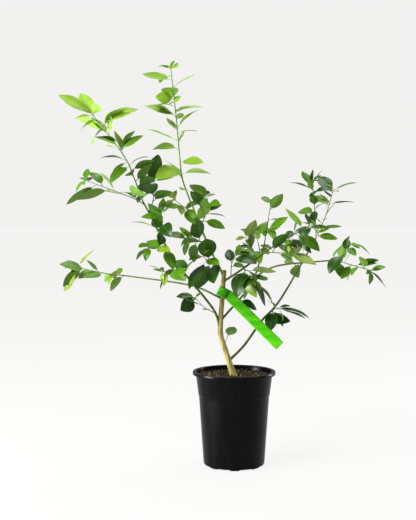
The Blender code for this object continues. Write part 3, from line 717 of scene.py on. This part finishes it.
VEIN_FINENESS = 14
# The tone of each pair of leaves by its first letter, from where they begin on the twig to its tip.
TONE_ORDER = {
    "top": "yyyyyyyy", "left_high": "dmmomyyy", "left_side": "momm", "left_mid": "ddd",
    "far_left": "mommmm", "right_top": "mdmddm", "right_top_side": "mmomd", "flat_tip": "mommm",
    "flat_side": "dm", "leader_right": "mdmm", "leader_left": "mo", "leader_low": "dmm",
    "centre_left": "ddm", "left_low": "ddm", "left_out": "mom", "left_inner": "dmo", "low_left": "dd",
    "centre": "mdm", "right_low": "dodd", "centre_right": "mdo", "centre_rear": "mom",
    "rear_top": "mmm", "right_tip": "mdmmd", "right_under": "do", "side_leaves": "dd",
    "low_inner": "mo", "trunk_leaf": "m",
}
TONE_LETTERS = {tone[0]: tone for tone in LEAF_TONES}
LONE_LEAF = "trunk_leaf"
SIDE_TWIGS = ("right_top_side", "flat_side")
# Twig and leaf number, where a leaf would touch its neighbour.
CROWDED_OUT = (("low_left", 2), ("centre", 0))
# How many leaves more stand between the pairs of the fullest twigs, over which span, and their
# length over that of the twig's last leaves.
BETWEEN_LEAVES = {"top": 7, "left_high": 3, "right_top": 2, "right_tip": 2, "leader_right": 1, "flat_tip": 1}
BETWEEN_SPAN = (0.4, 0.97)
BETWEEN_SIZE = 0.72
TIP_LEAVES = 3
TIP_GUIDE = (0.1, 0.2, 1)
TIP_TURN_SPREAD = 40
TIP_LEAN, TIP_LEAN_SPREAD = 62, 20
TIP_SIZE, TIP_SIZE_SPREAD = 0.52, 0.25
TIP_WIDTH, TIP_WIDTH_SPREAD = 0.45, 0.06
TIP_DROOP, TIP_DROOP_SPREAD = 30, 20
BETWEEN_SEED, TIP_SEED, NEW_LEAF_SEED, SEEN_SEED = 700, 500, 900, 1300

# A leaf is its root on the twig's axis, the way it points, the way its upper face looks, its length,
# its width and how far its blade bends down from root to tip.
Leaf = namedtuple("Leaf", "root way face length width droop")


def upper_face(way, roll, spare):
    """The way a leaf's upper face looks: as far up as the leaf's own way allows, then rolled about that
    way by degrees. A leaf that stands nearly upright looks the spare way instead of up."""
    level = np.array((0, 0, 1.0)) - way * way[2]
    level = unit(level) if np.linalg.norm(level) > NEARLY_UPRIGHT else spare
    roll = np.radians(roll)
    return level * np.cos(roll) + np.cross(way, level) * np.sin(roll)


def leaning_leaf(root, along, guide, angle, lean, roll, long, width_share, droop):
    """A leaf that is turned round its twig by an angle, counted from across the twig and the guide, leans
    out from the twig's own way, and has its face rolled. The angles are in degrees."""
    side = unit(np.cross(along, guide))
    angle, lean = np.radians((angle, lean))
    outward = side * np.cos(angle) + np.cross(side, along) * np.sin(angle)
    way = along * np.cos(lean) + outward * np.sin(lean)
    return Leaf(root, way, upper_face(way, roll, outward), long, long * width_share, np.radians(droop))


def leaf_pair(path, span, count, length, seed):
    """The leaves of one stretch of a twig, each a turn of the golden angle on from the last."""
    draws = np.random.default_rng(seed).uniform(-1, 1, (count + 1, 6))
    leaves = []
    for k, (turn, lift, roll, size, shape, place) in enumerate(draws[:count]):
        share = span[0] + (span[1] - span[0]) * (k + 0.5 + LEAF_PLACE_SPREAD * place) / count
        root, along = point_at(path, share)
        angle = 180 * draws[count, 0] + LEAF_TURN * k + LEAF_TURN_SPREAD * turn
        leaves.append(leaning_leaf(
            root, along, (0, 0, 1), angle, LEAF_LEAN + LEAF_LEAN_SPREAD * lift, LEAF_ROLL_SPREAD * roll,
            length * MM * (1 + LEAF_LENGTH_SPREAD * size), LEAF_WIDTH + LEAF_WIDTH_SPREAD * shape,
            LEAF_DROOP + LEAF_DROOP_SPREAD * shape * np.sign(turn * roll)))
    return leaves


def tip_leaves(path, length, seed):
    """Small new leaves round a twig's end bud, each leaning out from the way the twig ends."""
    draws = np.random.default_rng(seed).uniform(-1, 1, (TIP_LEAVES, 5))
    along = unit(path[-1] - path[-2])
    leaves = []
    for k, (turn, lift, roll, size, shape) in enumerate(draws):
        angle = LEAF_TURN * k + TIP_TURN_SPREAD * turn + 180 * draws[0, 0]
        leaves.append(leaning_leaf(
            path[-1 - k % 2], along, TIP_GUIDE, angle, TIP_LEAN + TIP_LEAN_SPREAD * lift,
            LEAF_ROLL_SPREAD * roll, length * MM * TIP_SIZE * (1 + TIP_SIZE_SPREAD * size),
            TIP_WIDTH + TIP_WIDTH_SPREAD * shape, TIP_DROOP + TIP_DROOP_SPREAD * shape))
    return leaves


# Single leaves that stand out in the view from the front and that the rule above misses, read one by one.
# Each: its twig, the pixels of its root and tip, how many mm nearer the camera its tip lies than its
# root, its width over its length, its roll and droop in degrees, and its tone.
SeenLeaf = namedtuple("SeenLeaf", "twig root_pixel tip_pixel forward width_share roll droop tone")
SEEN_LEAVES = [SeenLeaf(*row) for row in (
    ("left_high", (93, 115.5), (58, 93.5), 10, 0.36, -55, 25, "young"),
    ("left_high", (107, 120), (138.5, 106.5), 10, 0.36, 50, 45, "young"),
    ("left_high", (121, 150), (143.5, 134.5), 5, 0.34, 55, 30, "mid"),
    ("left_high", (126, 162), (98.5, 158.5), 5, 0.30, 10, 50, "dark"),
    ("left_high", (129, 166), (151, 157), 15, 0.36, 10, 60, "mid"),
    ("top", (176, 87.5), (196.5, 74.5), 5, 0.28, 20, 20, "young"),
    ("top", (178, 110), (203.5, 107), 5, 0.26, 30, 25, "young"),
    ("top", (177, 116), (144.5, 104.5), 10, 0.36, -45, 30, "young"),
    ("top", (172, 100), (156, 97), 12, 0.70, -75, 20, "young"),
    ("top", (171, 69), (159, 65), 4, 0.35, -40, 20, "young"),
    ("top", (172, 68), (181, 64), -4, 0.35, 40, 20, "young"),
    ("leader_right", (205, 214), (225.5, 217), 5, 0.26, 15, 30, "dark"),
    ("leader_right", (205, 222), (225, 229), 10, 0.42, 55, 40, "mid"),
    ("left_bough", (156, 229), (130, 221.5), 5, 0.24, 10, 40, "olive"),
    ("right_top", (315, 190), (288, 182.5), 5, 0.24, 10, 35, "dark"),
    ("right_top_side", (335, 189), (358, 182.5), 5, 0.30, 15, 30, "mid"),
    ("right_top_side", (331, 205), (355, 202.5), 5, 0.26, 15, 30, "dark"),
    ("right_top", (316, 182), (311, 169), 12, 0.75, 80, 15, "dark"),
    ("right_top", (317, 236), (338, 239), 10, 0.40, 50, 25, "mid"),
    ("flat_side", (348, 238), (372, 257), 5, 0.26, 15, 55, "mid"),
    ("flat_tip", (367, 267), (387, 289), 0, 0.24, 20, 35, "dark"),
    ("low_left", (196, 298), (182, 311), 20, 0.75, -80, 15, "dark"),
    ("far_left", (79, 262), (94.5, 250), -10, 0.26, 15, 25, "olive"),
    ("far_left", (73, 272), (64, 293), 5, 0.34, -70, 30, "olive"),
    ("side_leaves", (276, 311), (311, 319), 10, 0.26, 15, 50, "dark"),
    ("side_leaves", (264, 321), (291, 322.5), 15, 0.44, 60, 40, "dark"),
    ("rear_bough", (243, 303), (259, 311), -10, 0.40, 55, 30, "dark"),
)]
SEEN_POINT_STEP = 0.5 * MM
SEEN_SHARE_STEP, SEEN_HEADING_STEP, SEEN_RISE_STEP, SEEN_LENGTH_STEP = 0.01, 5, 1, 1 * MM
CAMERA_AHEAD = compass(90, CAMERA_PITCH)
CAMERA_UP = compass(90, CAMERA_PITCH + 90)
CAMERA_RIGHT = np.cross(CAMERA_AHEAD, CAMERA_UP)


def in_steps(value, step):
    """A value rounded to a whole number of steps."""
    return np.round(value / step) * step


def line_of_sight(pixel):
    """The way the camera looks through a pixel: ahead, plus the pixel's distances from the middle of
    the picture over the focal length, to the right and up."""
    right, down = np.subtract(pixel, (IMAGE_WIDTH / 2, IMAGE_HEIGHT / 2)) / FOCAL_PIXELS
    return CAMERA_AHEAD + right * CAMERA_RIGHT - down * CAMERA_UP


def seen_leaf(leaf, path):
    """A listed leaf, set on its twig.

    Its root is the point of the twig nearest in angle to the line of sight through the root's pixel.
    Its tip is on the line through the tip's pixel, nearer the camera than the root by the stated
    amount. Its blade starts steeper than that chord by half its droop, as far as it lies face up.
    What follows from the pixels is rounded to steps, as the pixels are read no finer.
    """
    points = spaced(path, SEEN_POINT_STEP)
    ways = points - CAMERA_PLACE
    nearest = np.argmax(ways @ unit(line_of_sight(leaf.root_pixel)) / np.linalg.norm(ways, axis=1))
    sight = line_of_sight(leaf.tip_pixel)
    depth = points[nearest][1] - leaf.forward * MM - CAMERA_PLACE[1]
    chord = CAMERA_PLACE + sight * depth / sight[1] - points[nearest]
    long = np.linalg.norm(chord)
    rise = np.degrees(np.arcsin(chord[2] / long)) + 0.5 * leaf.droop * np.cos(np.radians(leaf.roll))
    way = compass(in_steps(np.degrees(np.arctan2(chord[1], chord[0])), SEEN_HEADING_STEP),
                  in_steps(rise, SEEN_RISE_STEP))
    root = point_at(path, in_steps(nearest / (len(points) - 1), SEEN_SHARE_STEP))[0]
    long = in_steps(long, SEEN_LENGTH_STEP) / LEAF_GAIN
    face = upper_face(way, leaf.roll, -CAMERA_AHEAD)
    return Leaf(root, way, face, long, long * leaf.width_share, np.radians(leaf.droop))


def blade_width(share):
    """A blade's width over its widest: half a sine wave from the end of its stalk to its tip, with
    powers that move it towards the stalk and fill it out."""
    t = np.clip((share - PETIOLE_SHARE) / (1 - PETIOLE_SHARE), 0, 1)
    return np.sin(np.pi * t**BLADE_SHOULDER) ** BLADE_FULLNESS


def leaf_surface(leaf, seed):
    """An upper and a lower sheet on one outline, closed all round.

    The rib is an arc. The halves rise from it as a shallow V that cups towards the edge, and the edges
    ripple. The two sheets lie apart by more at the rib than beside it, and meet at the outline.
    """
    root, way, face, length, width, droop = leaf
    length, width = length * LEAF_GAIN, width * LEAF_GAIN
    phase, skew = np.random.default_rng(seed).uniform(0, 2 * np.pi, 2)
    blade_shares = PETIOLE_SHARE + (1 - PETIOLE_SHARE) * np.linspace(0, 1, BLADE_ROWS) ** BLADE_ROW_EASE
    s = np.concatenate(((0, PETIOLE_CAP, PETIOLE_SHARE / 2), blade_shares))[:, None]
    c = np.linspace(-1, 1, LEAF_COLUMNS)[None, :]
    blade = blade_width(s)
    narrowest = PETIOLE_RADIUS * np.where(s > TIP_SHARE, TIP_NARROWING, 1)
    half = np.maximum(0.5 * blade * width, narrowest)
    half[-1] = TIP_RADIUS
    across = c * half
    lift = (np.abs(across) * np.tan(np.radians(LEAF_FOLD)) - LEAF_CUP * across**2 / width) * blade
    lift += RIPPLE_HEIGHT * length * blade * c**2 * np.sin(RIPPLE_TURN * s + phase + skew * np.sign(c))
    rib = root + length * (np.sin(droop * s) * way - (1 - np.cos(droop * s)) * face) / droop
    normal = np.sin(droop * s) * way + np.cos(droop * s) * face
    side = np.cross(way, face)
    middle = rib[:, None] + across[..., None] * side + lift[..., None] * normal[:, None]
    thick = (BLADE_THICKNESS + RIB_THICKNESS * np.exp(-((c * RIB_SHARPNESS) ** 2))) * (1 - c**4)
    thick = thick * np.where(s < PETIOLE_SHARE, PETIOLE_FULLNESS, 1)
    thick[[0, -1]] = 0
    above = 0.5 * thick * np.where(s > PETIOLE_SHARE, UPPER_RIB_SHARE, 1)
    upper = middle + above[..., None] * normal[:, None]
    lower = middle - 0.5 * thick[..., None] * normal[:, None]
    uv = np.stack(np.broadcast_arrays((c + 1) / 2, s), axis=-1).reshape(-1, 2)
    top = grid_faces(len(s), LEAF_COLUMNS)
    low = grid_faces(len(s), LEAF_COLUMNS, flip=True) + len(s) * LEAF_COLUMNS
    verts = np.concatenate((upper, lower)).reshape(-1, 3)
    which = np.repeat((0, 1), (len(top), len(low)))
    return verts, np.concatenate((top, low)), np.concatenate((uv, uv)), which


def vein_group():
    """A node group: a leaf's veins as a mask, from its UV map. The midrib fades out from the middle
    line, and the side veins are sharp slanting waves that fade towards the edge."""
    group, ins, outs = mask_group("leaf_veins", Veins="Float")
    nodes, links = group.nodes, group.links
    where = nodes.new("ShaderNodeUVMap")
    where.uv_map = "UVMap"
    split = nodes.new("ShaderNodeSeparateXYZ")
    links.new(where.outputs["UV"], split.inputs[0])

    def calc(operation, a, b=0.0):
        """The output of a Math node on two numbers or sockets."""
        node = nodes.new("ShaderNodeMath")
        node.operation = operation
        for socket, value in zip(node.inputs, (a, b)):
            if isinstance(value, (int, float)):
                socket.default_value = value
            else:
                links.new(value, socket)
        return node.outputs[0]

    off = calc("MULTIPLY", calc("ABSOLUTE", calc("SUBTRACT", split.outputs["X"], 0.5)), 2)
    rib = calc("MAXIMUM", calc("SUBTRACT", 1.0, calc("DIVIDE", off, MIDRIB_WIDTH)), 0.0)
    run = calc("MULTIPLY", split.outputs["Y"], VEIN_PHASE)
    phase = calc("SUBTRACT", run, calc("MULTIPLY", off, VEIN_SLANT))
    wave = calc("POWER", calc("ABSOLUTE", calc("SINE", phase)), VEIN_FINENESS)
    fade = calc("MULTIPLY", calc("MULTIPLY", wave, calc("SUBTRACT", 1.0, off)), ins.outputs["Veins"])
    links.new(calc("MINIMUM", calc("ADD", rib, fade), 1.0), outs.inputs["Mask"])
    return group


veins = vein_group()


def leaf_material(name, base, vein, roughness, strength):
    """Leaf green with paler, slightly sunken veins and soft blotches, glossy on top."""
    tones = [tuple(factor * channel for channel in base) for factor in LEAF_BLOTCH]
    span = [roughness + spread for spread in LEAF_ROUGHNESS_SPREAD]
    made, shader, ramp = grained_material(name, tones, span, LEAF_GRAIN,
                                          contrast=LEAF_BLOTCH_CONTRAST, specular=LEAF_SPECULAR)
    tree = made.node_tree
    mask = mask_of(tree, veins, Veins=strength)
    mix = tree.nodes.new("ShaderNodeMix")
    mix.data_type = "RGBA"
    tree.links.new(mask, mix.inputs["Factor"])
    tree.links.new(ramp.outputs["Color"], mix.inputs["A"])
    mix.inputs["B"].default_value = (*vein, 1)
    tree.links.new(mix.outputs["Result"], shader.inputs["Base Color"])
    add_relief(tree, shader, mask, VEIN_RELIEF_STRENGTH, VEIN_DEPTH, sunken=True)
    return made


leaf_parts = {tone: [] for tone in LEAF_TONES}
paired_leaves = []
for index, (twig, row) in enumerate(TWIGS.items()):
    first, (low, high), seeds = row[4:]
    tones = [TONE_LETTERS[letter] for letter in TONE_ORDER[twig]]
    for k, seed in enumerate(seeds):
        span = [first + (1 - first) * (k + end) / len(seeds) for end in (0, 1)]
        length = low + (high - low) * (k + 0.5) / len(seeds)
        for j, leaf in enumerate(leaf_pair(paths[twig], span, 1 if twig == LONE_LEAF else 2, length, seed)):
            if (twig, 2 * k + j) in CROWDED_OUT:
                continue
            leaf_parts[tones[k]].append(leaf_surface(leaf, seed + len(paired_leaves)))
            paired_leaves.append(leaf)
    if twig == LONE_LEAF:
        continue
    last_tone = "mid" if tones[-1] == "dark" else tones[-1]
    count = BETWEEN_LEAVES.get(twig, 0)
    between = leaf_pair(paths[twig], BETWEEN_SPAN, count, BETWEEN_SIZE * high, BETWEEN_SEED + index)
    for leaf in between + tip_leaves(paths[twig], high, TIP_SEED + index):
        leaf_parts[last_tone].append(leaf_surface(leaf, NEW_LEAF_SEED + index))
for index, leaf in enumerate(SEEN_LEAVES):
    leaf_parts[leaf.tone].append(leaf_surface(seen_leaf(leaf, paths[leaf.twig]), SEEN_SEED + index))
masses = [twig for twig in TWIGS if twig not in SIDE_TWIGS]
for tone, (base, vein, under, roughness) in LEAF_TONES.items():
    verts, faces, uv, which = joined(leaf_parts[tone])
    top_face = leaf_material(tone + "_leaf_top", base, vein, roughness, VEINS_ABOVE)
    rough = roughness + UNDERSIDE_ROUGHER
    low_face = leaf_material(tone + "_leaf_underside", under, vein, rough, VEINS_BELOW)
    piece = mesh_piece(tone + "_leaves", verts, faces, [top_face, low_face], "leaves",
                       face_material=which, uv=uv)
    if tone == "mid":
        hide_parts(*masses)


# Thorns: short stiff spines of the same green wood as the shoots, as key lime bears them. One stands
# beside every third leaf stalk, rooted in the twig, and tapers to a sharp tip.
THORN_EVERY = 3
THORN_LENGTH = (5 * MM, 10 * MM)
THORN_RADII = (0.55 * MM, 0.08 * MM)
THORN_LEAN = 0.7
THORN_POINTS = 5
THORN_SIDES = 6
THORN_SEED = 77

rng = np.random.default_rng(THORN_SEED)
thorn_parts = []
for leaf in paired_leaves[::THORN_EVERY]:
    lean = unit(leaf.way + rng.uniform(-THORN_LEAN, THORN_LEAN, 3))
    path = leaf.root + np.linspace(0, rng.uniform(*THORN_LENGTH), THORN_POINTS)[:, None] * lean
    thorn_parts.append(tube_surface(path, np.linspace(*THORN_RADII, THORN_POINTS), THORN_SIDES))
mesh_piece("thorns", *joined(thorn_parts), [bark["shoot"]], "leaves")


# Tag: a plain bright green strap of glossy plastic film, looped once round the trunk and pulled through,
# whose free end sticks out and down to the right.
TAG_SHARE = 0.80
TAG_TILT = 25
TAG_LOOP = (9.3 * MM, 6.3 * MM)
TAG_LOOP_WIDTH = 19 * MM
TAG_LOOP_TURN = (25, 352)
TAG_LOOP_POINTS = 28
TAG_LAYER = 1.2 * MM
TAG_BEND = ((1.6 * MM, 0.3 * MM), (3.4 * MM, 1.6 * MM))  # steps to the front and to the right
TAG_TAIL_LENGTH = 142 * MM
TAG_TAIL_WIDTH = 20.5 * MM
TAG_TAIL_HEADING = -10
TAG_TAIL_RISE = -44
TAG_TAIL_START = 1.5 * MM
TAG_TAIL_SHARES = (0.02, 0.35, 0.7, 1)
TAG_TURNS_OVER = 3
TAG_THICKNESS = 0.6 * MM
TAG_ROWS = 160
TAG_COLUMNS = 9
TAG_CORNER = 3 * MM
TAG_CORNER_CUT = 0.12
TAG_CORNER_START = 0.8
TAG_TONES = ((0.055, 0.44, 0.0), (0.105, 0.62, 0.0))
TAG_ROUGHNESS = (0.16, 0.34)
TAG_SPECULAR = 0.25
TAG_GRAIN = 60
TAG_GRAIN_STRETCH = (0.4, 1, 1.6)
TAG_RELIEF = 0.12 * MM
TAG_COAT, TAG_COAT_ROUGHNESS = 0.35, 0.12


def tag_path():
    """The strap's middle line and its half width at each point, as a vector across it.

    The line goes once round the trunk on an ellipse in a tilted plane that widens by one layer, then
    through a short bend, then straight to the free end. The width turns over within a few points from
    the loop's tilted axis to the tail's own plane.
    """
    centre = point_at(paths["trunk"], TAG_SHARE)[0]
    tilt = np.radians(TAG_TILT)
    axis = np.array((np.sin(tilt), 0, np.cos(tilt)))
    right = np.array((np.cos(tilt), 0, -np.sin(tilt)))
    front = np.array((0, -1, 0))
    turn = np.linspace(*TAG_LOOP_TURN, TAG_LOOP_POINTS)
    angle = np.radians(turn)
    grow_out = TAG_LAYER * turn / 360
    loop = (centre + np.outer(np.cos(angle) * (TAG_LOOP[0] + grow_out), right)
            + np.outer(np.sin(angle) * (TAG_LOOP[1] + grow_out), front))
    way = compass(TAG_TAIL_HEADING, TAG_TAIL_RISE)
    bend = [loop[-1] + ahead * front + aside * right for ahead, aside in TAG_BEND]
    start = bend[-1] + TAG_TAIL_START * way
    tail = [start + way * TAG_TAIL_LENGTH * share for share in TAG_TAIL_SHARES]
    points = np.vstack((loop, bend, tail))
    share = np.clip((np.arange(len(points)) - len(loop) + 1) / TAG_TURNS_OVER, 0, 1)[:, None]
    across = axis * (1 - share) + unit(np.cross(front, way)) * share
    half = 0.5 * (TAG_LOOP_WIDTH * (1 - share) + TAG_TAIL_WIDTH * share)
    return points, across / np.linalg.norm(across, axis=1)[:, None] * half


def tag_surface():
    """A flat grid laid across the strap's line at even marks, its free corners rounded off."""
    points, across = tag_path()
    far = travelled(points)
    marks = np.linspace(0, far[-1], TAG_ROWS)
    middle = read_at(marks, far, points)
    half = read_at(marks, far, across)
    from_end = np.clip((far[-1] - marks) / TAG_CORNER, 0, 1)[:, None]
    c = np.linspace(-1, 1, TAG_COLUMNS)[None, :]
    pulled_in = 1 - TAG_CORNER_CUT + TAG_CORNER_CUT * np.sqrt(from_end)
    c = c * np.where(np.abs(c) > TAG_CORNER_START, pulled_in, 1)
    verts = middle[:, None] + c[..., None] * half[:, None]
    return verts.reshape(-1, 3), grid_faces(TAG_ROWS, TAG_COLUMNS)


tag_plastic, tag_shader, _ = grained_material(
    "green_strap", TAG_TONES, TAG_ROUGHNESS, TAG_GRAIN, TAG_RELIEF,
    stretch=TAG_GRAIN_STRETCH, specular=TAG_SPECULAR)
tag_shader.inputs["Coat Weight"].default_value = TAG_COAT
tag_shader.inputs["Coat Roughness"].default_value = TAG_COAT_ROUGHNESS
tag = mesh_piece("strap_tag", *tag_surface(), [tag_plastic], "strap_plastic", ["tie_tag"])
film = tag.modifiers.new("thickness", "SOLIDIFY")
film.thickness = TAG_THICKNESS
film.offset = 0
